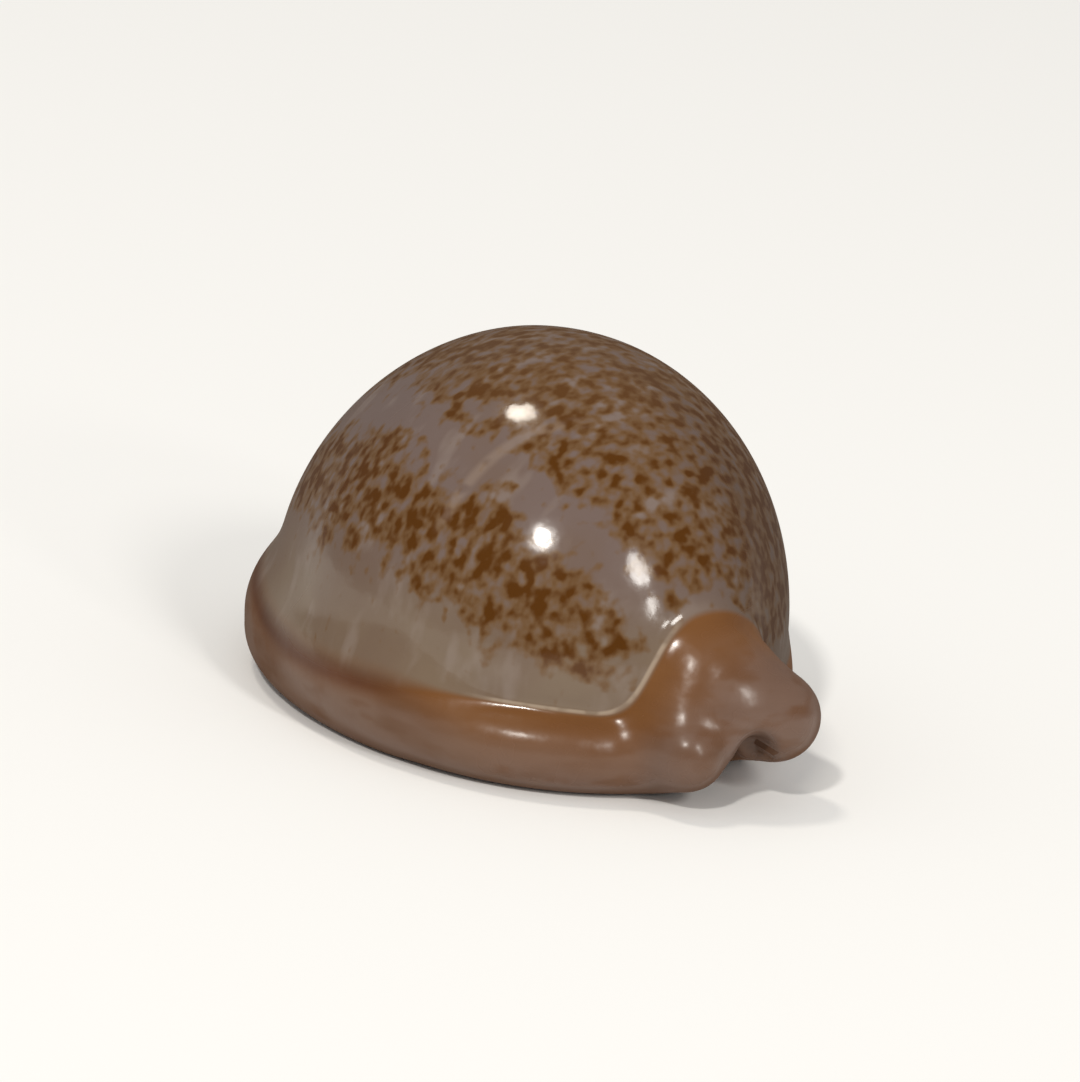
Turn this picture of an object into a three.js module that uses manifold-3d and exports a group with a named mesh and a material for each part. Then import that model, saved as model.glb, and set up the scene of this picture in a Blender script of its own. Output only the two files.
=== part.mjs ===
// Cowrie shell: a tall humped back (dorsum) on a thick glossy rim of callus, a callus hood over the
// canal at the rear end, and a narrow toothed slit (the aperture) along the flat base.
// Millimetres, +Z up, base on z = 0. +X is the rear (posterior) end with the hood, -X the front end,
// -Y the columellar side, +Y the outer-lip side. It grew as one piece, so it is one solid.
import * as THREE from 'three';
import Module from 'manifold-3d';

// Dorsum: a squashed superellipsoid, longer behind its centre than before it. The outer-lip side
// narrows toward the rear by lipTaper.
const DORSUM = {
  centre: [0.0, 0.2, 8.0], rear: 22.9, front: 24.3, halfWidth: 20.4, lipTaper: 0.26,
  rise: 22.5, drop: 12.0, power: 1.9,
};

// Rim of callus around the base: a flat slab with a rounded edge.
const RIM = {
  centreY: 0.3, rear: 24.2, front: 26.4, edgeRadius: 3.2, top: 6.5, frontRise: 2.3,
  lip: { halfWidth: 21.3, power: 1.95, taper: 0.33 },
  columella: { halfWidth: 21.4, power: 2.05, taper: -0.09 },
};

// Crest: the rim swells up over the rear canal, wider toward the outer lip.
const CREST = {
  rise: 6.4, y: -0.8, lipWidth: 6.4, columellaWidth: 4.3, power: 2.7, from: 8, full: 16,
};

// Under the outer lip's rear lobe the base lifts clear of the ground.
const LIFT = { height: 2.6, fromX: 16, fullX: 24, fromY: -0.5, fullY: 2.5 };

// Hood: rounded arms that run from its root inside the shell down into the two rear lobes, with a
// web between them that roofs the canal.
const HOOD = { root: [19.3, 0.5, 9.0], radius: 4.5 };
const REAR_LOBES = [
  { tip: [25.2, 4.8, 6.7], radius: 3.5 },
  { tip: [25.0, -3.1, 4.5], radius: 2.9 },
  { tip: [24.4, 1.6, 8.0], radius: 3.2 },
];

// Front end: two lower lobes either side of the front canal, and their web.
const FRONT_ROOT = { root: [-19.0, 0.6, 5.6], radius: 4.4 };
const FRONT_LOBES = [
  { tip: [-24.0, 4.2, 4.4], radius: 2.7 },
  { tip: [-24.0, -3.4, 4.4], radius: 2.8 },
  { tip: [-23.4, 0.5, 6.0], radius: 2.4 },
];

// Canals: low rounded tunnels that open at the two ends of the base. Each starts at a distance from
// the middle of the shell, toward +X (side 1) or -X (side -1).
const REAR_CANAL = { y: 1.2, halfWidth: 1.5, height: 4.5, start: 17, side: 1 };
const FRONT_CANAL = { y: 0.5, halfWidth: 1.7, height: 3.0, start: 20, side: -1 };

// Hollow in the inner face of the outer lip's rear lobe, at the mouth of the rear canal.
const DIMPLE = { inner: [26.2, 2.4, 4.7], outer: [30.0, 0.2, 5.6], innerRadius: 0.9, outerRadius: 1.5 };

// Blend radii between the masses.
const BLEND = { hood: 3.0, lobes: 3.5, web: 3.0, front: 3.0, dimple: 1.2 };

// The crease between callus and dorsum: soft along the flanks, tight beside the hood.
const CREASE = { flank: 4.6, hood: 1.2, from: 6, full: 17 };

// Aperture: a slit that follows a gentle arc, with rounded teeth along both lips.
const SLIT = {
  xFront: -23.5, xRear: 24.5, midY: 3.2, halfWidth: 1.15, frontExtra: 0.35,
  toothPitch: 1.9, toothHeight: 0.55, samplesPerTooth: 4,
};

// Slit section, from below the base up into the cavity: height, widening, share of tooth height.
const SLIT_LEVELS = [
  { z: -0.4, flare: 0.55, tooth: 0.3 },
  { z: 0.25, flare: 0.4, tooth: 0.6 },
  { z: 0.9, flare: 0.0, tooth: 1.0 },
  { z: 2.6, flare: 0.0, tooth: 0.9 },
  { z: 5.4, flare: 0.5, tooth: 0.1 },
];

// Cavity inside the shell: thin over the back, thick behind the rim and above the base.
const CAVITY = { centre: [0.4, 0.2, 9.5], rear: 18.6, front: 21.6, halfWidth: 17.0, up: 19.6, down: 5.2 };

// Mesh density: edge length of the outside over the back, and how many times finer it is at the
// two ends and low down, where the lobes and the rim are. FLAT is the error allowed in thinning.
// The cavity has its own count of facets around and from top to bottom.
const EDGE = 2.3;
const ENDS = { from: 15, finer: 1.7 };
const LOW = { below: 9, finer: 1.7 };
const FLAT = 0.004;
const CAVITY_AROUND = 24;
const CAVITY_ROWS = 12;

// Box that holds the whole outside, with room to spare, in stretched lengths.
const BOUNDS = { min: [-38, -24, -12], max: [45, 24, 34] };

function smoothMin(a, b, k) {
  const h = Math.max(k - Math.abs(a - b), 0) / k;
  return Math.min(a, b) - h * h * k * 0.25;
}

function smoothMax(a, b, k) {
  return -smoothMin(-a, -b, k);
}

// Distance-like value of a superellipsoid with the half axes a, b, c and power n.
function superellipsoid(x, y, z, a, b, c, n) {
  const [ax, ay, az] = [Math.abs(x) + 1e-9, Math.abs(y) + 1e-9, Math.abs(z) + 1e-9];
  const rho = Math.pow((ax / a) ** n + (ay / b) ** n + (az / c) ** n, 1 / n);
  const slope = Math.hypot(ax ** (n - 1) / a ** n, ay ** (n - 1) / b ** n, az ** (n - 1) / c ** n);
  return (rho - 1) / (slope * rho ** (1 - n));
}

// 0 below from, 1 above to, smooth between.
function ease(value, from, to) {
  const t = Math.min(Math.max((value - from) / (to - from), 0), 1);
  return t * t * (3 - 2 * t);
}

// Share of a half width left at x, when it narrows toward the rear end.
function tapered(x, rear, taper) {
  return 1 - taper * Math.min(Math.max(x / rear, 0), 1) ** 2;
}

function dorsum(x, y, z) {
  const d = DORSUM;
  const [dx, dy, dz] = [x - d.centre[0], y - d.centre[1], z - d.centre[2]];
  const a = dx > 0 ? d.rear : d.front;
  const b = d.halfWidth * (dy > 0 ? tapered(dx, d.rear, d.lipTaper) : 1);
  return superellipsoid(dx, dy, dz, a, b, dz > 0 ? d.rise : d.drop, d.power);
}

// Top of the rim above the base: it rises toward the front end and swells into the rear crest.
function rimTop(x, y) {
  const width = y > CREST.y ? CREST.lipWidth : CREST.columellaWidth;
  const swell = Math.exp(-(Math.abs((y - CREST.y) / width) ** CREST.power));
  const front = RIM.frontRise * Math.min(Math.max(-x / RIM.front, 0), 1) ** 2;
  return RIM.top + front + CREST.rise * swell * ease(x, CREST.from, CREST.full);
}

function rimBottom(x, y) {
  return LIFT.height * ease(x, LIFT.fromX, LIFT.fullX) * ease(y, LIFT.fromY, LIFT.fullY);
}

// Distance to the rim's plan outline: half a superellipse on each side.
function rimOutline(x, y) {
  const dy = y - RIM.centreY;
  const side = dy > 0 ? RIM.lip : RIM.columella;
  const a = x > 0 ? RIM.rear : RIM.front;
  const b = side.halfWidth * tapered(x, RIM.rear, side.taper);
  return superellipsoid(x, dy, 0, a, b, 1, side.power);
}

function rim(x, y, z) {
  const [top, bottom] = [rimTop(x, y), rimBottom(x, y)];
  const u = rimOutline(x, y) + RIM.edgeRadius;
  const v = Math.abs(z - (top + bottom) / 2) - (top - bottom) / 2 + RIM.edgeRadius;
  return Math.hypot(Math.max(u, 0), Math.max(v, 0)) + Math.min(Math.max(u, v), 0) - RIM.edgeRadius;
}

// Distance to a round cone from the point a (radius ra) to the point b (radius rb).
function roundCone(p, a, b, ra, rb) {
  const ab = [b[0] - a[0], b[1] - a[1], b[2] - a[2]];
  const ap = [p[0] - a[0], p[1] - a[1], p[2] - a[2]];
  const along = ap[0] * ab[0] + ap[1] * ab[1] + ap[2] * ab[2];
  const t = Math.min(Math.max(along / (ab[0] ** 2 + ab[1] ** 2 + ab[2] ** 2), 0), 1);
  return Math.hypot(ap[0] - t * ab[0], ap[1] - t * ab[1], ap[2] - t * ab[2]) - (ra + t * (rb - ra));
}

// Two arms and the web between them, grown from one root.
function lobes(p, { root, radius }, [left, right, web]) {
  const arm = (lobe) => roundCone(p, root, lobe.tip, radius, lobe.radius);
  return smoothMin(smoothMin(arm(left), arm(right), BLEND.lobes), arm(web), BLEND.web);
}

function callus(p) {
  const hooded = smoothMin(rim(...p), lobes(p, HOOD, REAR_LOBES), BLEND.hood);
  return smoothMin(hooded, lobes(p, FRONT_ROOT, FRONT_LOBES), BLEND.front);
}

// Negative inside the shell's outer shape, which goes on below the base.
function body(p) {
  const crease = CREASE.flank + (CREASE.hood - CREASE.flank) * ease(p[0], CREASE.from, CREASE.full);
  const whole = smoothMin(dorsum(...p), callus(p), crease);
  const hollow = roundCone(p, DIMPLE.inner, DIMPLE.outer, DIMPLE.innerRadius, DIMPLE.outerRadius);
  return smoothMax(whole, -hollow, BLEND.dimple);
}

// Real place of a point in stretched space, where the ends and the low part are drawn out.
function unstretch([u, v, w]) {
  const over = Math.max(Math.abs(u) - ENDS.from, 0) * (1 - 1 / ENDS.finer);
  const under = Math.max(LOW.below - w, 0) * (1 - 1 / LOW.finer);
  return [u - Math.sign(u) * over, v, w + under];
}

// The outside, meshed evenly in stretched space, put back into place and cut flat at the base.
function outerSolid({ Manifold }) {
  const stretched = Manifold.levelSet((p) => -body(unstretch(p)), BOUNDS, EDGE, 0, 0.001);
  const toPlace = (p) => {
    [p[0], p[1], p[2]] = unstretch(p);
  };
  return stretched.warp(toPlace).trimByPlane([0, 0, 1], 0).simplify(FLAT);
}

// A canal, from its start inside the shell out past the shell's end.
function canalSolid({ Manifold }, canal) {
  const ball = Manifold.sphere(1, 20).scale([canal.halfWidth, canal.halfWidth, canal.height]);
  const at = (x) => ball.translate([x * canal.side, canal.y, 0]);
  return Manifold.hull([at(canal.start), at(BOUNDS.max[0])]);
}

// Closed mesh of rings between a first and a last pole.
function ringMesh(rings, firstPole, lastPole) {
  const around = rings[0].length;
  const points = [...rings.flat(), firstPole, lastPole];
  const top = points.length - 2;
  const bottom = points.length - 1;
  const faces = [];
  for (let j = 0; j < around; j += 1) {
    const k = (j + 1) % around;
    faces.push([top, j, k]);
    for (let i = 0; i + 1 < rings.length; i += 1) {
      const [a, b] = [i * around, (i + 1) * around];
      faces.push([a + j, b + j, b + k], [a + j, b + k, a + k]);
    }
    const last = (rings.length - 1) * around;
    faces.push([bottom, last + k, last + j]);
  }
  return { points, faces };
}

function cavityMesh() {
  const c = CAVITY;
  const place = (polar, turn) => {
    const [x, y, z] = [Math.sin(polar) * Math.cos(turn), Math.sin(polar) * Math.sin(turn), Math.cos(polar)];
    const length = x > 0 ? c.rear : c.front;
    return [
      c.centre[0] + x * length,
      c.centre[1] + y * c.halfWidth,
      c.centre[2] + z * (z > 0 ? c.up : c.down),
    ];
  };
  const ring = (_, i) => Array.from({ length: CAVITY_AROUND }, (__, j) =>
    place((Math.PI * (i + 1)) / CAVITY_ROWS, (2 * Math.PI * j) / CAVITY_AROUND));
  const rings = Array.from({ length: CAVITY_ROWS - 1 }, ring);
  return ringMesh(rings, place(0, 0), place(Math.PI, 0));
}

// The slit's middle line: from the front canal, bowed toward the outer lip, to the rear canal.
function slitLine(x) {
  const t = (x - SLIT.xFront) / (SLIT.xRear - SLIT.xFront);
  const straight = FRONT_CANAL.y + (REAR_CANAL.y - FRONT_CANAL.y) * t;
  const middle = (FRONT_CANAL.y + REAR_CANAL.y) / 2;
  return straight + (SLIT.midY - middle) * Math.sin(Math.PI * t);
}

// Half width of the slit at x on one lip (side +1 or -1), with its teeth.
function slitHalfWidth(x, side, level) {
  const t = (x - SLIT.xFront) / (SLIT.xRear - SLIT.xFront);
  const plain = SLIT.halfWidth + SLIT.frontExtra * (1 - t) ** 2;
  const phase = (2 * Math.PI * (x + side * SLIT.toothPitch * 0.25)) / SLIT.toothPitch;
  const crest = (0.5 + 0.5 * Math.cos(phase)) ** 1.3;
  const fade = Math.min(1, 6 * t, 6 * (1 - t));
  return plain + level.flare * fade - SLIT.toothHeight * level.tooth * fade * crest;
}

// Solid that cuts the slit: cross bars from lip to lip, lofted from below the base to the cavity.
function slitMesh() {
  const length = SLIT.xRear - SLIT.xFront;
  const count = Math.round((length / SLIT.toothPitch) * SLIT.samplesPerTooth);
  const points = [];
  for (const level of SLIT_LEVELS) {
    for (const side of [1, -1]) {
      for (let i = 0; i <= count; i += 1) {
        const x = SLIT.xFront + (length * i) / count;
        const y = slitLine(x) + side * slitHalfWidth(x, side, level);
        points.push([x, y, slitHeight(x, level.z)]);
      }
    }
  }
  return { points, faces: slitFaces(count) };
}

// Toward both ends the slit's roof comes down, so that it stays low in the canals.
function slitHeight(x, z) {
  const end = Math.min(x - SLIT.xFront, SLIT.xRear - x) / 7;
  return z < 1 ? z : 1 + (z - 1) * (0.3 + 0.7 * Math.min(end, 1));
}

function slitFaces(count) {
  const row = count + 1;
  const at = (level, side, i) => (level * 2 + (side > 0 ? 0 : 1)) * row + i;
  const faces = [];
  const quad = (a, b, c, d) => faces.push([a, b, c], [a, c, d]);
  const top = SLIT_LEVELS.length - 1;
  for (let i = 0; i < count; i += 1) {
    for (let l = 0; l < top; l += 1) {
      quad(at(l, 1, i + 1), at(l, 1, i), at(l + 1, 1, i), at(l + 1, 1, i + 1));
      quad(at(l, -1, i), at(l, -1, i + 1), at(l + 1, -1, i + 1), at(l + 1, -1, i));
    }
    quad(at(0, 1, i), at(0, 1, i + 1), at(0, -1, i + 1), at(0, -1, i));
    quad(at(top, -1, i), at(top, -1, i + 1), at(top, 1, i + 1), at(top, 1, i));
  }
  for (let l = 0; l < top; l += 1) {
    quad(at(l, 1, 0), at(l, -1, 0), at(l + 1, -1, 0), at(l + 1, 1, 0));
    quad(at(l, -1, count), at(l, 1, count), at(l + 1, 1, count), at(l + 1, -1, count));
  }
  return faces;
}

// Closed solid from a list of points and a list of triangles.
function solid(wasm, { points, faces }) {
  const mesh = new wasm.Mesh({
    numProp: 3,
    vertProperties: new Float32Array(points.flat()),
    triVerts: new Uint32Array(faces.flat()),
  });
  return new wasm.Manifold(mesh);
}

function toGeometry(manifold) {
  const mesh = manifold.getMesh();
  const geometry = new THREE.BufferGeometry();
  geometry.setAttribute('position', new THREE.BufferAttribute(new Float32Array(mesh.vertProperties), 3));
  geometry.setIndex(new THREE.BufferAttribute(new Uint32Array(mesh.triVerts), 1));
  return geometry;
}

// Moves the footprint so that the middle of its bounding box is on the origin.
function centreFootprint(geometry) {
  geometry.computeBoundingBox();
  const { min, max } = geometry.boundingBox;
  geometry.translate(-(min.x + max.x) / 2, -(min.y + max.y) / 2, -min.z);
}

const wasm = await Module();
wasm.setup();

const shell = outerSolid(wasm)
  .subtract(canalSolid(wasm, REAR_CANAL))
  .subtract(canalSolid(wasm, FRONT_CANAL))
  .subtract(solid(wasm, cavityMesh()))
  .subtract(solid(wasm, slitMesh()));
const geometry = toGeometry(shell);
centreFootprint(geometry);
geometry.computeVertexNormals();

const material = new THREE.MeshStandardMaterial({ color: 0xa08c80, roughness: 0.18, metalness: 0 });
const cowrie = new THREE.Mesh(geometry, material);
cowrie.name = 'cowrie_shell';

const part = new THREE.Group();
part.name = 'cowrie';
part.add(cowrie);

export default part;
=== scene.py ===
"""A cowrie shell on a pale floor: one fine mesh of the same shape as the CAD solid, with a
procedural glazed material. Lengths of the shape are in millimetres, the scene is in metres.
+X is the rear (hooded) end, -Y the columellar side, +Y the outer-lip side, +Z up."""

import math

import bmesh
import bpy
import numpy as np
from mathutils import Matrix, Vector


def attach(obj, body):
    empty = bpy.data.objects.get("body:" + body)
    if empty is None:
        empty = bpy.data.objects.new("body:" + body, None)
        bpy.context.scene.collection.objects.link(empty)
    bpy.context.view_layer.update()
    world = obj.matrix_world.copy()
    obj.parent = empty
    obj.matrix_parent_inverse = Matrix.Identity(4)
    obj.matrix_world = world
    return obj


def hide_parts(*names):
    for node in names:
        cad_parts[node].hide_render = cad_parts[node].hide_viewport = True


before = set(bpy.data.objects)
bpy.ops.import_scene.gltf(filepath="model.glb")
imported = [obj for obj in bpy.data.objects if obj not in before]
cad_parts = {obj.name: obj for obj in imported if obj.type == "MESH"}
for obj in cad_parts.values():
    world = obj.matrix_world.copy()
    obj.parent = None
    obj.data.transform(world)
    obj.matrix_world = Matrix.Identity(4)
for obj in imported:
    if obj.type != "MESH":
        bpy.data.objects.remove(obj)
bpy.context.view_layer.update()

MM = 0.001

# ---------------------------------------------------------------- shape, as in the CAD source, in mm

DORSUM = dict(
    centre=(0.0, 0.2, 8.0), rear=22.9, front=24.3, half_width=20.4, lip_taper=0.26,
    rise=22.5, drop=12.0, power=1.9,
)
RIM = dict(
    centre_y=0.3, rear=24.2, front=26.4, edge_radius=3.2, top=6.5, front_rise=2.3,
    lip=(21.3, 1.95, 0.33), columella=(21.4, 2.05, -0.09),
)
CREST = dict(
    rise=6.4, y=-0.8, lip_width=6.4, columella_width=4.3, power=2.7, start=8, full=16,
)
LIFT = dict(height=2.6, from_x=16, full_x=24, from_y=-0.5, full_y=2.5)
# Lobes: each is a round cone from a root to a tip, given as (point, radius).
HOOD = ((19.3, 0.5, 9.0), 4.5)
REAR_LOBES = (((25.2, 4.8, 6.7), 3.5), ((25.0, -3.1, 4.5), 2.9), ((24.4, 1.6, 8.0), 3.2))
FRONT_ROOT = ((-19.0, 0.6, 5.6), 4.4)
FRONT_LOBES = (((-24.0, 4.2, 4.4), 2.7), ((-24.0, -3.4, 4.4), 2.8), ((-23.4, 0.5, 6.0), 2.4))
REAR_NOTCH = dict(y=1.2, half_width=1.5, height=4.6, start=16, side=1)
# A round cone cut out beside the rear canal: both ends, then both radii.
DIMPLE = ((26.2, 2.4, 4.7), (30.0, 0.2, 5.6), 0.9, 1.5)
FRONT_NOTCH = dict(y=0.5, half_width=1.7, height=3.0, start=19, side=-1)
BLEND = dict(hood=3.0, lobes=3.5, web=3.0, front=3.0, notch=0.9, dimple=1.2)
# The crease between callus and dorsum: soft along the flanks, tight beside the hood.
CREASE = dict(flank=4.6, hood=1.2, start=6, full=17)
SLIT = dict(
    x_front=-23.5, x_rear=24.5, mid_y=3.2, half_width=1.15, front_extra=0.35,
    pitch=1.9, tooth=0.55, tooth_power=1.3, fade=6, samples=12, end_length=7, end_low=0.3, end_rise=0.7,
)
CAVITY = dict(centre=(0.4, 0.2, 9.5), rear=18.6, front=21.6, half_width=17.0, up=19.6, down=5.2)

# Slit section, from below the base up into the cavity: height, widening, share of tooth depth.
SLIT_LEVELS = (
    (-0.30, 0.62, 0.20), (0.00, 0.50, 0.30), (0.08, 0.34, 0.42), (0.20, 0.20, 0.60),
    (0.40, 0.08, 0.82), (0.75, 0.00, 1.00), (1.60, 0.00, 1.00), (2.60, 0.00, 0.90),
    (3.60, 0.10, 0.60), (4.60, 0.30, 0.25), (5.40, 0.55, 0.05),
)

# A brown ring on the back, above the bare line.
RING = dict(centre=(3.8, -10.3, 26.3), radius=2.5)

# Centre of the painted shade in the mouth of the rear canal.
CANAL_MOUTH = (26.8, 1.6, 4.0)

# ---------------------------------------------------------------- fineness of the meshes

# The outside is found along rays from the heart: first in steps over the reach, then by halving.
HEART = np.array([0.0, 0.0, 10.0])
REACH = 40.0
STEPS = 40
HALVINGS = 20
# Rays in each row, and how far they crowd toward the two ends of the shell.
AROUND = 384
END_CROWDING = 0.22
# Rows from the top down: first and last angle from the vertical in radians, and their number.
ROW_BANDS = ((0.0, 1.42, 62), (1.42, 2.2, 84), (2.2, 3.06, 14))
CAVITY_AROUND = 96
CAVITY_ROWS = 48
# Points closer than this, in mm, are one point.
WELD_DISTANCE = 0.002
# The stored cover value stops at this distance from the crease, in mm.
COVER_LIMIT = 20
# Edges that turn more than this, in degrees, stay sharp.
SHARP_ANGLE = 38


def smooth_min(a, b, k):
    h = np.maximum(k - np.abs(a - b), 0.0) / k
    return np.minimum(a, b) - h * h * k * 0.25


def smooth_max(a, b, k):
    return -smooth_min(-a, -b, k)


def ease(value, start, end):
    t = np.clip((value - start) / (end - start), 0.0, 1.0)
    return t * t * (3.0 - 2.0 * t)


def superellipsoid(x, y, z, a, b, c, n):
    """Distance-like value, negative inside."""
    ax, ay, az = np.abs(x) + 1e-9, np.abs(y) + 1e-9, np.abs(z) + 1e-9
    px, py, pz = (ax / a) ** n, (ay / b) ** n, (az / c) ** n
    rho = (px + py + pz) ** (1.0 / n)
    slope = np.sqrt((px / ax) ** 2 + (py / ay) ** 2 + (pz / az) ** 2) * rho ** (1.0 - n)
    return (rho - 1.0) / slope


def tapered(x, rear, taper):
    return 1.0 - taper * np.clip(x / rear, 0.0, 1.0) ** 2


def dorsum(x, y, z):
    d = DORSUM
    dx, dy, dz = x - d["centre"][0], y - d["centre"][1], z - d["centre"][2]
    a = np.where(dx > 0, d["rear"], d["front"])
    b = d["half_width"] * np.where(dy > 0, tapered(dx, d["rear"], d["lip_taper"]), 1.0)
    c = np.where(dz > 0, d["rise"], d["drop"])
    return superellipsoid(dx, dy, dz, a, b, c, d["power"])


def rim_top(x, y):
    width = np.where(y > CREST["y"], CREST["lip_width"], CREST["columella_width"])
    swell = np.exp(-(np.abs((y - CREST["y"]) / width) ** CREST["power"]))
    front = RIM["front_rise"] * np.clip(-x / RIM["front"], 0.0, 1.0) ** 2
    return RIM["top"] + front + CREST["rise"] * swell * ease(x, CREST["start"], CREST["full"])


def rim_bottom(x, y):
    lift = LIFT
    along = ease(x, lift["from_x"], lift["full_x"])
    return lift["height"] * along * ease(y, lift["from_y"], lift["full_y"])


def rim_outline(x, y):
    dy = y - RIM["centre_y"]
    a = np.where(x > 0, RIM["rear"], RIM["front"])
    lip, columella = [
        superellipsoid(x, dy, 0.0, a, half * tapered(x, RIM["rear"], taper), 1.0, power)
        for half, power, taper in (RIM["lip"], RIM["columella"])
    ]
    return np.where(dy > 0, lip, columella)


def rim(x, y, z):
    top, bottom, radius = rim_top(x, y), rim_bottom(x, y), RIM["edge_radius"]
    u = rim_outline(x, y) + radius
    v = np.abs(z - (top + bottom) / 2) - (top - bottom) / 2 + radius
    outside = np.hypot(np.maximum(u, 0.0), np.maximum(v, 0.0))
    return outside + np.minimum(np.maximum(u, v), 0.0) - radius


def round_cone(p, a, b, ra, rb):
    ab = np.subtract(b, a)
    ap = p - np.array(a)
    t = np.clip(ap @ ab / (ab @ ab), 0.0, 1.0)
    return np.linalg.norm(ap - t[..., None] * ab, axis=-1) - (ra + t * (rb - ra))


def lobes(p, root, tips):
    left, right, web = [round_cone(p, root[0], tip, root[1], radius) for tip, radius in tips]
    return smooth_min(smooth_min(left, right, BLEND["lobes"]), web, BLEND["web"])


def callus(p):
    hooded = smooth_min(rim(*p.T), lobes(p, HOOD, REAR_LOBES), BLEND["hood"])
    return smooth_min(hooded, lobes(p, FRONT_ROOT, FRONT_LOBES), BLEND["front"])


def notch_depth(p, notch):
    across = (p[:, 1] - notch["y"]) / notch["half_width"]
    arch = np.hypot(across, np.maximum(p[:, 2], 0.0) / notch["height"]) - 1.0
    width = arch * min(notch["half_width"], notch["height"])
    return -smooth_max(width, notch["start"] - p[:, 0] * notch["side"], BLEND["notch"])


def body(p):
    """Outer shape of the shell at the points p (n, 3), negative inside."""
    toward_hood = ease(p[:, 0], CREASE["start"], CREASE["full"])
    crease = CREASE["flank"] + (CREASE["hood"] - CREASE["flank"]) * toward_hood
    whole = smooth_min(dorsum(*p.T), callus(p), crease)
    for notch in (REAR_NOTCH, FRONT_NOTCH):
        whole = smooth_max(whole, notch_depth(p, notch), BLEND["notch"])
    whole = smooth_max(whole, -round_cone(p, *DIMPLE), BLEND["dimple"])
    return np.maximum(whole, -p[:, 2])


def cast(directions):
    """Outermost point of the body along each direction (n, 3) from the heart."""
    inside = np.zeros(len(directions))
    for i in range(STEPS, 0, -1):
        todo = np.nonzero(inside == 0)[0]
        if not len(todo):
            break
        t = REACH * i / STEPS
        found = body(HEART + t * directions[todo]) < 0
        inside[todo[found]] = t
    outside = inside + REACH / STEPS
    for _ in range(HALVINGS):
        middle = (inside + outside) / 2
        held = body(HEART + middle[:, None] * directions) < 0
        inside = np.where(held, middle, inside)
        outside = np.where(held, outside, middle)
    points = HEART + inside[:, None] * directions
    points[:, 2] = np.maximum(points[:, 2], 0.0)
    return points


# ---------------------------------------------------------------- meshes

def ring_faces(rows, around, first_pole, last_pole):
    """Quads between rows of points, and a fan at each pole."""
    i, j = np.meshgrid(np.arange(rows - 1), np.arange(around), indexing="ij")
    k = (j + 1) % around
    a, b = i * around, (i + 1) * around
    quads = np.stack([a + j, b + j, b + k, a + k], -1).reshape(-1, 4).tolist()
    last = (rows - 1) * around
    for n in range(around):
        m = (n + 1) % around
        quads.append([first_pole, n, m])
        quads.append([last_pole, last + m, last + n])
    return quads


def new_mesh(name, points, faces):
    mesh = bpy.data.meshes.new(name)
    mesh.from_pydata(np.asarray(points).tolist(), [], faces)
    mesh.update()
    thing = bpy.data.objects.new(name, mesh)
    bpy.context.scene.collection.objects.link(thing)
    return thing


def outer_mesh():
    polar = np.concatenate([
        start + (end - start) * np.arange(1, count + 1) / count for start, end, count in ROW_BANDS
    ])
    turn = 2 * math.pi * np.arange(AROUND) / AROUND
    turn = turn - END_CROWDING * np.sin(2 * turn)
    v, u = np.meshgrid(polar, turn, indexing="ij")
    directions = np.stack([np.sin(v) * np.cos(u), np.sin(v) * np.sin(u), np.cos(v)], -1)
    points = cast(np.concatenate([directions.reshape(-1, 3), [[0.0, 0.0, 1.0]]]))
    points = np.concatenate([points, [[HEART[0], HEART[1], 0.0]]])
    faces = ring_faces(len(polar), AROUND, len(points) - 2, len(points) - 1)
    return new_mesh("shell_outside", points, faces)


def cavity_mesh():
    c = CAVITY
    v = math.pi * np.arange(CAVITY_ROWS + 1) / CAVITY_ROWS
    u = 2 * math.pi * np.arange(CAVITY_AROUND) / CAVITY_AROUND
    v, u = np.meshgrid(v, u, indexing="ij")
    x, y, z = np.sin(v) * np.cos(u), np.sin(v) * np.sin(u), np.cos(v)
    length = np.where(x > 0, c["rear"], c["front"])
    height = np.where(z > 0, c["up"], c["down"])
    size = (length, c["half_width"], height)
    points = np.stack([p * s + o for p, s, o in zip((x, y, z), size, c["centre"])], -1)
    rings = points[1:-1].reshape(-1, 3)
    points = np.concatenate([rings, points[:1, 0], points[-1:, 0]])
    faces = ring_faces(CAVITY_ROWS - 1, CAVITY_AROUND, len(rings), len(rings) + 1)
    return new_mesh("shell_cavity", points, faces)


def slit_line(x):
    """Middle of the slit: from canal to canal, bowed toward the outer lip."""
    s = SLIT
    t = (x - s["x_front"]) / (s["x_rear"] - s["x_front"])
    straight = FRONT_NOTCH["y"] + (REAR_NOTCH["y"] - FRONT_NOTCH["y"]) * t
    middle = (FRONT_NOTCH["y"] + REAR_NOTCH["y"]) / 2
    return straight + (s["mid_y"] - middle) * np.sin(math.pi * t)


def slit_half_width(x, side, flare, tooth):
    """Half width of the slit on one side, less the teeth, whose crests repeat with the pitch."""
    s = SLIT
    t = (x - s["x_front"]) / (s["x_rear"] - s["x_front"])
    plain = s["half_width"] + s["front_extra"] * (1 - t) ** 2
    phase = 2 * math.pi * (x + side * s["pitch"] * 0.25) / s["pitch"]
    crest = (0.5 + 0.5 * np.cos(phase)) ** s["tooth_power"]
    fade = np.minimum(1.0, np.minimum(s["fade"] * t, s["fade"] * (1 - t)))
    return plain + flare * fade - s["tooth"] * tooth * fade * crest


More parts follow.
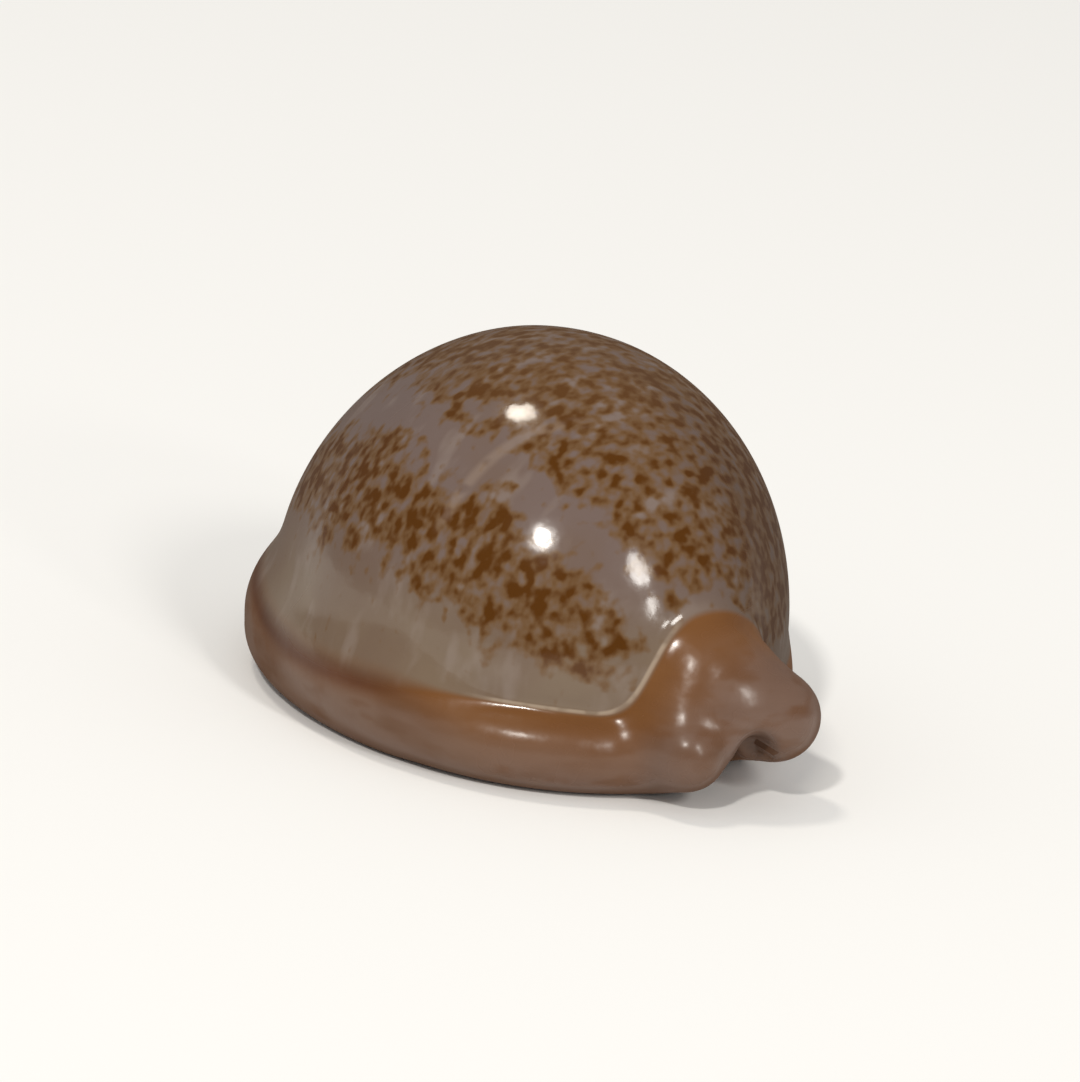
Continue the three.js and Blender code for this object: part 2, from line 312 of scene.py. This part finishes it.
def slit_mesh():
    s = SLIT
    count = round((s["x_rear"] - s["x_front"]) / s["pitch"] * s["samples"])
    x = np.linspace(s["x_front"], s["x_rear"], count + 1)
    end = np.clip(np.minimum(x - s["x_front"], s["x_rear"] - x) / s["end_length"], 0.0, 1.0)
    loops = []
    for level, flare, tooth in SLIT_LEVELS:
        z = level if level < 1 else 1 + (level - 1) * (s["end_low"] + s["end_rise"] * end)
        sides = []
        for side in (1, -1):
            y = slit_line(x) + side * slit_half_width(x, side, flare, tooth)
            sides.append(np.stack([x, y, np.broadcast_to(z, x.shape)], -1))
        loops.append(np.concatenate([sides[0], sides[1][::-1]]))
    around = 2 * (count + 1)
    i, j = np.meshgrid(np.arange(len(loops) - 1), np.arange(around), indexing="ij")
    k = (j + 1) % around
    a, b = i * around, (i + 1) * around
    walls = np.stack([a + k, a + j, b + j, b + k], -1)
    faces = walls.reshape(-1, 4).tolist()
    top = (len(loops) - 1) * around
    for n in range(count):
        near, far = n, around - 1 - n
        faces.append([near, near + 1, far - 1, far])
        faces.append([top + far, top + far - 1, top + near + 1, top + near])
    return new_mesh("shell_slit", np.concatenate(loops), faces)


def cut(thing, cutter):
    """Takes the cutter's shape out of the thing and removes the cutter."""
    modifier = thing.modifiers.new("cut", "BOOLEAN")
    modifier.operation = "DIFFERENCE"
    modifier.solver = "EXACT"
    modifier.object = cutter
    bpy.context.view_layer.update()
    evaluated = thing.evaluated_get(bpy.context.evaluated_depsgraph_get())
    mesh = bpy.data.meshes.new_from_object(evaluated)
    thing.modifiers.clear()
    thing.data = mesh
    bpy.data.objects.remove(cutter)


def vertex_array(mesh):
    co = np.zeros(len(mesh.vertices) * 3)
    mesh.vertices.foreach_get("co", co)
    return co.reshape(-1, 3)


def add_attribute(mesh, name, values):
    attribute = mesh.attributes.new(name, "FLOAT", "POINT")
    attribute.data.foreach_set("value", np.asarray(values, np.float32))


def weld(mesh):
    """Joins the points that the cuts leave on top of each other and drops the faces they flatten."""
    work = bmesh.new()
    work.from_mesh(mesh)
    bmesh.ops.remove_doubles(work, verts=work.verts, dist=WELD_DISTANCE)
    bmesh.ops.triangulate(work, faces=work.faces)
    bmesh.ops.dissolve_degenerate(work, edges=work.edges, dist=WELD_DISTANCE)
    bmesh.ops.triangulate(work, faces=work.faces)
    by_points = {}
    for face in work.faces:
        by_points.setdefault(frozenset(face.verts), []).append(face)
    flaps = [face for faces in by_points.values() if len(faces) > 1 for face in faces]
    bmesh.ops.delete(work, geom=flaps, context="FACES")
    work.to_mesh(mesh)
    work.free()


def build_shell():
    """The shell piece, centred as the CAD part is, and the shift that centred it, in mm."""
    shell = outer_mesh()
    cut(shell, cavity_mesh())
    cut(shell, slit_mesh())
    mesh = shell.data
    weld(mesh)
    shell.name = mesh.name = "cowrie"
    points = vertex_array(mesh)
    # Above 0 where the callus covers the dorsum, below 0 on the bare dorsum, in mm.
    cover = dorsum(*points.T) - callus(points)
    add_attribute(mesh, "cover", np.clip(cover, -COVER_LIMIT, COVER_LIMIT))
    low, high = points.min(0), points.max(0)
    centre = np.array([(low[0] + high[0]) / 2, (low[1] + high[1]) / 2, low[2]])
    mesh.vertices.foreach_set("co", ((points - centre) * MM).ravel())
    mesh.shade_smooth()
    mesh.set_sharp_from_angle(angle=math.radians(SHARP_ANGLE))
    mesh.update()
    return shell, centre


# ---------------------------------------------------------------- material

# Colours of the shell, red, green and blue from 0 to 255.
COLOURS = dict(
    back=(107, 91, 85), low_flank=(115, 98, 81), lip_side=(94, 79, 69), cloud=(104, 84, 70),
    milk=(142, 129, 121), haze=(104, 77, 50), speck=(79, 44, 2), lip_hood_brown_and_shade=(58, 36, 20),
    mantle_line=(146, 128, 114), callus_edge_and_highlight=(160, 143, 125), front_end=(72, 50, 34),
    rim_dark=(95, 65, 43), rim_pale=(106, 80, 64), rim_pink=(109, 84, 68), lobe_pink=(110, 87, 75),
    mottle=(96, 62, 36), edge_dark=(99, 59, 23), edge_pale=(120, 79, 39),
    # The canal colour is painted shade in the mouth of the rear canal.
    crease_dark=(66, 36, 18), crease_pale=(94, 52, 22), canal=(76, 52, 36),
)

# Noise textures: scale per mm, and how many finer layers are added.
NOISE = dict(
    cloud=(0.11, 3.0), milk=(0.55, 2.5), wander=(0.2, 2.0), blotch=(1.28, 0.8), cluster=(0.3, 1.0),
    fine=(2.8, 1.0), mantle_line=(0.5, 1.0), callus_edge_and_highlight=(0.6, 1.0), streak=(1.0, 2.0),
    patch=(0.17, 2.0), mottle=(1.0, 2.5), rough=(0.5, 2.0), bump=(0.38, 2.5),
)

# Stretch of the noise along each axis: a smaller number makes longer marks.
STRETCH = dict(
    specks=(0.95, 0.68, 0.68), milk=(0.9, 0.35, 0.35), streak=(0.10, 0.10, 0.42),
    mottle=(0.22, 0.22, 0.5), ring=(1.0, 1.25, 1.25),
)

# How much each pattern adds to the specks, and the level it has to pass where there are none;
# the level drops by the fall where they cover the back.
SPECKS = dict(blotch=0.77, cluster=0.14, fine=0.11, ring=0.10, level=0.807, fall=-0.33)

# Angles round the shell's length start from this height, in mm.
ANGLE_HEIGHT = 8.0

GLAZE = dict(ior=1.5, specular=0.35, bump=0.00025)


def new_nodes(name):
    material = bpy.data.materials.new(name)
    material.use_nodes = True
    tree = material.node_tree
    tree.nodes.clear()
    return material, tree


class Graph:
    """Short calls for building a node tree."""

    def __init__(self, tree):
        self.tree = tree

    def node(self, kind, **values):
        made = self.tree.nodes.new(kind)
        for key, value in values.items():
            setattr(made, key, value)
        return made

    def feed(self, socket, value):
        if isinstance(value, bpy.types.NodeSocket):
            self.tree.links.new(value, socket)
        else:
            socket.default_value = value

    def math(self, operation, a, b=0.0, c=0.0):
        made = self.node("ShaderNodeMath", operation=operation)
        for socket, value in zip(made.inputs, (a, b, c)):
            self.feed(socket, value)
        return made.outputs[0]

    def ramp(self, value, low, high, to_low=0.0, to_high=1.0):
        """Smooth step: to_low where the value is low or beyond it, to_high from high on."""
        made = self.node("ShaderNodeMapRange", interpolation_type="SMOOTHSTEP", clamp=True)
        for key, item in (
            ("Value", value), ("From Min", low), ("From Max", high),
            ("To Min", to_low), ("To Max", to_high),
        ):
            self.feed(made.inputs[key], item)
        return made.outputs["Result"]

    def mix(self, amount, a, b):
        """Colour a where the amount is 0 and b where it is 1."""
        made = self.node("ShaderNodeMix", data_type="RGBA")
        self.feed(made.inputs["Factor"], amount)
        # A mix node has inputs and outputs for every data type: these are the colour ones.
        self.feed(made.inputs[6], a)
        self.feed(made.inputs[7], b)
        return made.outputs[2]

    def noise(self, vector, name):
        scale, detail = NOISE[name]
        made = self.node("ShaderNodeTexNoise")
        self.feed(made.inputs["Vector"], vector)
        made.inputs["Scale"].default_value = scale
        made.inputs["Detail"].default_value = detail
        made.inputs["Roughness"].default_value = 0.5
        return made.outputs["Fac"]

    def stretched_noise(self, vector, name, stretch):
        return self.noise(self.vector("MULTIPLY", vector, STRETCH[stretch]), name)

    def vector(self, operation, *values):
        made = self.node("ShaderNodeVectorMath", operation=operation)
        for socket, value in zip(made.inputs, values):
            self.feed(socket, value)
        return made.outputs["Vector"]

    def vector_length(self, value):
        made = self.node("ShaderNodeVectorMath", operation="LENGTH")
        self.feed(made.inputs[0], value)
        return made.outputs["Value"]

    def split(self, value):
        made = self.node("ShaderNodeSeparateXYZ")
        self.feed(made.inputs[0], value)
        return made.outputs


def colour(name):
    """A named colour as linear red, green, blue and alpha."""
    shares = [value / 255 for value in COLOURS[name]]
    linear = [c / 12.92 if c <= 0.04045 else ((c + 0.055) / 1.055) ** 2.4 for c in shares]
    return (*linear, 1.0)


def shell_material(centre):
    material, tree = new_nodes("glazed_shell")
    g = Graph(tree)
    # Places in the material are in mm, in the frame of the shape functions.
    place = g.node("ShaderNodeTexCoord").outputs["Object"]
    at = g.vector("MULTIPLY_ADD", place, (1 / MM,) * 3, tuple(centre))
    x, y, z = g.split(at)
    cover = g.node("ShaderNodeAttribute", attribute_name="cover").outputs["Fac"]
    back = back_colour(g, at, x, y, z, cover)
    soft = g.ramp(x, 14.0, 6.0, 0.25, 1.1)
    covered = g.ramp(cover, g.math("MULTIPLY", soft, -1.3), soft)
    surface = g.mix(covered, back, flesh(g, at, x, cover))
    surface = g.mix(g.ramp(x, -7.0, -21.0, 0.0, 0.35), surface, colour("front_end"))

    shader = g.node("ShaderNodeBsdfPrincipled")
    g.feed(shader.inputs["Base Color"], surface)
    g.feed(shader.inputs["Roughness"], roughness(g, at, x, cover))
    shader.inputs["IOR"].default_value = GLAZE["ior"]
    shader.inputs["Specular IOR Level"].default_value = GLAZE["specular"]
    bump = g.node("ShaderNodeBump")
    g.feed(bump.inputs["Strength"], g.ramp(cover, -0.4, 1.5, 0.16, 0.36))
    bump.inputs["Distance"].default_value = GLAZE["bump"]
    g.feed(bump.inputs["Height"], g.noise(at, "bump"))
    g.feed(shader.inputs["Normal"], bump.outputs[0])
    out = g.node("ShaderNodeOutputMaterial")
    g.feed(out.inputs["Surface"], shader.outputs[0])
    return material


def roughness(g, at, x, cover):
    """Glossy back, satin callus; rougher at grazing angles, where a glaze would mirror the floor."""
    satin = g.ramp(x, 7.0, 18.0, 0.32, 0.24)
    rough = g.math("MULTIPLY_ADD", g.noise(at, "rough"), 0.06, g.ramp(cover, -0.4, 1.2, 0.09, satin))
    grazing = g.node("ShaderNodeLayerWeight").outputs["Facing"]
    return g.math("ADD", rough, g.ramp(grazing, 0.45, 0.75, 0.0, 0.7))


def back_colour(g, at, x, y, z, cover):
    """The bare back with its specks, darker and browner toward the outer lip and the hood (partly painted
    shade), and two pale lines, the one beside the hood with a painted highlight.
    """
    back = specks(g, at, x, y, z, back_ground(g, at, y, z))
    # Darker and browner toward the outer lip and the hood: partly the shell's own brown, partly painted
    # shade on the side turned away from the lamps.
    lip_hood_brown_and_shade = g.math("MULTIPLY", g.ramp(y, -3.0, 8.0), g.ramp(x, 4.0, 17.0, 0.0, 0.35))
    back = g.mix(lip_hood_brown_and_shade, back, colour("lip_hood_brown_and_shade"))
    back = g.mix(mantle_line(g, at, x, y, z), back, colour("mantle_line"))
    # The pale callus edge beside the hood also carries a painted highlight along the crease.
    return g.mix(callus_edge_and_highlight(g, at, x, y, cover), back, colour("callus_edge_and_highlight"))


def back_ground(g, at, y, z):
    """Ground of the back: grey-mauve above, cream low down, browner toward the outer lip."""
    cloud = g.noise(at, "cloud")
    low = g.ramp(g.math("MULTIPLY_ADD", cloud, 6.0, z), 21.0, 12.0)
    ground = g.mix(low, colour("back"), colour("low_flank"))
    ground = g.mix(g.ramp(y, 0.0, 10.0, 0.0, 0.5), ground, colour("lip_side"))
    ground = g.mix(g.ramp(cloud, 0.40, 0.68, 0.0, 0.6), ground, colour("cloud"))
    milk = g.stretched_noise(at, "milk", "milk")
    return g.mix(g.ramp(milk, 0.50, 0.70, 0.0, 0.32), ground, colour("milk"))


def speckled_area(g, at, x, y, z):
    """1 where specks cover the back: a band on the flank and a cover over the top, a bare line between."""
    # Angle round the shell's length: 0 at the top, 90 on the columellar flank.
    across = g.math("MULTIPLY", y, -1.0)
    angle = g.math("DEGREES", g.math("ARCTAN2", across, g.math("SUBTRACT", z, ANGLE_HEIGHT)))
    angle = g.math("ADD", angle, g.math("MULTIPLY_ADD", g.noise(at, "wander"), 20.0, -10.0))
    low_edge = g.ramp(x, 6.0, 20.0, 76.0, 90.0)
    below = g.ramp(g.math("SUBTRACT", angle, low_edge), 1.0, -10.0)
    band = g.math("MULTIPLY", g.ramp(angle, 37.0, 51.0), below)
    band = g.math("MULTIPLY", band, g.ramp(x, 22.4, 20.0))
    over = g.math("MULTIPLY", g.ramp(angle, 39.0, 25.0), g.ramp(angle, -86.0, -70.0))
    over = g.math("MULTIPLY", over, g.ramp(x, 22.4, 20.4))
    over = g.math("MULTIPLY", over, g.ramp(y, 2.0, 10.0, 0.9, 1.06))
    return g.math("MAXIMUM", band, over)


def ring_mark(g, at):
    """Positive along the brown ring and negative inside it."""
    off = g.vector("MULTIPLY", g.vector("SUBTRACT", at, RING["centre"]), STRETCH["ring"])
    off = g.math("SUBTRACT", g.vector_length(off), RING["radius"])
    return g.math("SUBTRACT", g.ramp(g.math("ABSOLUTE", off), 1.2, 0.2), g.ramp(off, -0.6, -1.6))


def specks(g, at, x, y, z, ground):
    """Brown specks over the ground: a dark core in a golden haze, weaker at the very top."""
    blotch = g.stretched_noise(at, "blotch", "specks")
    cluster = g.math("MULTIPLY", g.noise(at, "cluster"), SPECKS["cluster"])
    value = g.math("MULTIPLY_ADD", blotch, SPECKS["blotch"], cluster)
    value = g.math("MULTIPLY_ADD", g.stretched_noise(at, "fine", "specks"), SPECKS["fine"], value)
    value = g.math("MULTIPLY_ADD", ring_mark(g, at), SPECKS["ring"], value)
    area = speckled_area(g, at, x, y, z)
    level = g.math("MULTIPLY_ADD", area, SPECKS["fall"], SPECKS["level"])
    excess = g.math("SUBTRACT", value, level)
    haze = g.ramp(excess, -0.18, 0.03)
    dark = g.ramp(excess, -0.03, 0.15, 0.0, g.ramp(z, 29.5, 24.0, 0.7, 1.0))
    return g.mix(dark, g.mix(haze, ground, colour("haze")), colour("speck"))


def mantle_line(g, at, x, y, z):
    """Faint pale line that curves up the back where the two halves of the mantle met."""
    bend = g.math("POWER", g.math("ADD", y, 15.0), 2.0)
    off = g.math("SUBTRACT", x, g.math("MULTIPLY_ADD", bend, 0.028, 7.6))
    line = g.ramp(g.math("ABSOLUTE", off), 0.7, 0.1, 0.0, 0.36)
    line = g.math("MULTIPLY", line, g.ramp(g.noise(at, "mantle_line"), 0.38, 0.55))
    line = g.math("MULTIPLY", line, g.ramp(z, 17.5, 20.0))
    return g.math("MULTIPLY", line, g.ramp(y, -3.0, -7.0))


def callus_edge_and_highlight(g, at, x, y, cover):
    """Pale edge of the callus beside the hood, on the columellar side, with a painted highlight along the
    crease there.
    """
    line = g.ramp(g.math("ABSOLUTE", g.math("ADD", cover, 0.25)), 0.30, 0.08)
    line = g.math("MULTIPLY", line, g.ramp(x, 13.0, 16.0))
    line = g.math("MULTIPLY", line, g.ramp(g.noise(at, "callus_edge_and_highlight"), 0.36, 0.56, 0.3, 0.85))
    return g.math("MULTIPLY", line, g.ramp(y, -2.2, -4.0))


def flesh(g, at, x, cover):
    """Callus: soft brown streaks along the rim, pinker on the lobes, orange along its upper edge."""
    streak = g.stretched_noise(at, "streak", "streak")
    patch = g.noise(at, "patch")
    base = g.mix(g.ramp(streak, 0.36, 0.60), colour("rim_dark"), colour("rim_pale"))
    pink = g.mix(g.ramp(x, 15.0, 21.0), colour("rim_pink"), colour("lobe_pink"))
    base = g.mix(g.ramp(patch, 0.42, 0.60, g.ramp(x, 15.0, 21.0, 0.0, 0.35), 0.7), base, pink)
    mottle = g.stretched_noise(at, "mottle", "mottle")
    base = g.mix(g.ramp(mottle, 0.50, 0.68, 0.0, 0.6), base, colour("mottle"))
    wide = g.ramp(x, 9.0, 17.0, 2.2, 4.5)
    edge = g.ramp(g.math("DIVIDE", cover, wide), 1.0, 0.15, 0.0, 0.9)
    base = g.mix(edge, base, g.mix(streak, colour("edge_dark"), colour("edge_pale")))
    # A darker line in the crease along the flank, and painted shade in the mouth of the rear canal.
    crease = g.ramp(g.math("ABSOLUTE", g.math("SUBTRACT", cover, 0.4)), 1.5, 0.3)
    crease = g.math("MULTIPLY", crease, g.ramp(x, 13.0, 5.0, 0.0, 0.95))
    base = g.mix(crease, base, g.mix(patch, colour("crease_dark"), colour("crease_pale")))
    # Painted shade: the callus darkens toward the mouth of the rear canal.
    canal = g.vector_length(g.vector("SUBTRACT", at, CANAL_MOUTH))
    return g.mix(g.ramp(canal, 3.0, 0.8, 0.0, 0.7), base, colour("canal"))


# ---------------------------------------------------------------- stage, lights, camera

FLOOR = dict(half_size=0.6, colour=(0.90, 0.90, 0.89, 1), roughness=0.9, specular=0.1)

# Brightness of the room as the camera sees it, as it fills the shadows and as the gloss mirrors it.
ROOM = dict(seen=0.86, fill=0.5, gloss=0.2)

LAMP_DISTANCE = 2.2
# Azimuth and elevation in degrees, then the size and power each lamp would have 1 m away, and its tint.
LAMPS = dict(
    key=(34, 43, (0.072, 0.072), 3.9, (1.0, 0.96, 0.9)),
    side=(86, 35, (0.15, 0.21), 2.3, (1.0, 0.97, 0.92)),
    side_low=(90, 21, (0.09, 0.14), 0.8, (1.0, 0.97, 0.92)),
    top=(-63, 69, (0.13, 0.17), 1.8, (1.0, 0.93, 0.82)),
)

# Angles in degrees, distance in m, lens and sensor in mm. The camera looks at a point this high above
# the base, in mm, shifted a little to the left and up in the picture.
CAMERA = dict(
    azimuth=52.9, elevation=16.6, roll=6.3, distance=0.450, lens=188.6, sensor=36.0,
    aim_height=12.0, shift_left=0.26, shift_up=1.48, clip=(0.01, 20.0),
)


def toward(azimuth, elevation):
    """Unit vector toward a place seen at that azimuth and elevation, in degrees."""
    a, e = math.radians(azimuth), math.radians(elevation)
    return Vector((math.sin(a) * math.cos(e), -math.cos(a) * math.cos(e), math.sin(e)))


def make_floor():
    size = FLOOR["half_size"]
    points = [(-size, -size, 0), (size, -size, 0), (size, size, 0), (-size, size, 0)]
    floor = new_mesh("floor", points, [[0, 1, 2, 3]])
    material, tree = new_nodes("pale_floor")
    g = Graph(tree)
    shader = g.node("ShaderNodeBsdfPrincipled")
    shader.inputs["Base Color"].default_value = FLOOR["colour"]
    shader.inputs["Roughness"].default_value = FLOOR["roughness"]
    shader.inputs["Specular IOR Level"].default_value = FLOOR["specular"]
    out = g.node("ShaderNodeOutputMaterial")
    g.feed(out.inputs["Surface"], shader.outputs[0])
    floor.data.materials.append(material)


def area_light(name, aim, azimuth, elevation, size, power, tint):
    """Elliptical lamp aimed at the shell; its size and power are those it would have 1 m away."""
    data = bpy.data.lights.new(name, "AREA")
    data.shape = "ELLIPSE"
    data.size = size[0] * LAMP_DISTANCE
    data.size_y = size[1] * LAMP_DISTANCE
    data.energy = power * LAMP_DISTANCE ** 2
    data.color = tint
    lamp = bpy.data.objects.new(name, data)
    bpy.context.scene.collection.objects.link(lamp)
    direction = toward(azimuth, elevation)
    lamp.location = aim + direction * LAMP_DISTANCE
    lamp.rotation_mode = "QUATERNION"
    lamp.rotation_quaternion = direction.to_track_quat("Z", "Y")


def make_world():
    """A pale backdrop, a soft fill for diffuse light and a darker room for the gloss."""
    world = bpy.data.worlds.new("studio")
    bpy.context.scene.world = world
    world.use_nodes = True
    tree = world.node_tree
    tree.nodes.clear()
    g = Graph(tree)
    ray = g.node("ShaderNodeLightPath")
    fill = g.math("MULTIPLY", ray.outputs["Is Diffuse Ray"], ROOM["fill"] - ROOM["gloss"])
    seen = g.math("MULTIPLY", ray.outputs["Is Camera Ray"], ROOM["seen"] - ROOM["gloss"])
    light = g.math("ADD", g.math("ADD", ROOM["gloss"], fill), seen)
    background = g.node("ShaderNodeBackground")
    background.inputs["Color"].default_value = (1.0, 1.0, 1.0, 1)
    g.feed(background.inputs["Strength"], light)
    out = g.node("ShaderNodeOutputWorld")
    g.feed(out.inputs["Surface"], background.outputs[0])


def make_camera(centre):
    """Three-quarter view of the hooded end, a little from above, slightly rolled; returns its aim."""
    c = CAMERA
    back = toward(c["azimuth"], c["elevation"])
    azimuth = math.radians(c["azimuth"])
    level = Vector((math.cos(azimuth), math.sin(azimuth), 0.0))
    upright = back.cross(level)
    roll = math.radians(c["roll"])
    right = level * math.cos(roll) + upright * math.sin(roll)
    up = upright * math.cos(roll) - level * math.sin(roll)
    aim = Vector((0.0, 0.0, c["aim_height"] * MM)) - Vector(centre) * MM
    place = aim + back * c["distance"]
    target = aim - right * (c["shift_left"] * MM) + up * (c["shift_up"] * MM)
    back = (place - target).normalized()
    right = up.cross(back).normalized()
    up = back.cross(right)
    data = bpy.data.cameras.new("camera")
    data.sensor_width = c["sensor"]
    data.lens = c["lens"]
    data.clip_start, data.clip_end = c["clip"]
    camera = bpy.data.objects.new("camera", data)
    bpy.context.scene.collection.objects.link(camera)
    turn = Matrix((right, up, back)).transposed().to_4x4()
    camera.matrix_world = Matrix.Translation(place) @ turn
    bpy.context.scene.camera = camera
    return aim


shell, centre = build_shell()
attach(shell, "root")
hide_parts("cowrie_shell")
shell.data.materials.clear()
shell.data.materials.append(shell_material(centre))

make_floor()
make_world()
aim = make_camera(centre)
for name, lamp in LAMPS.items():
    area_light(name, aim, *lamp)
bpy.context.scene.view_settings.view_transform = "Standard"
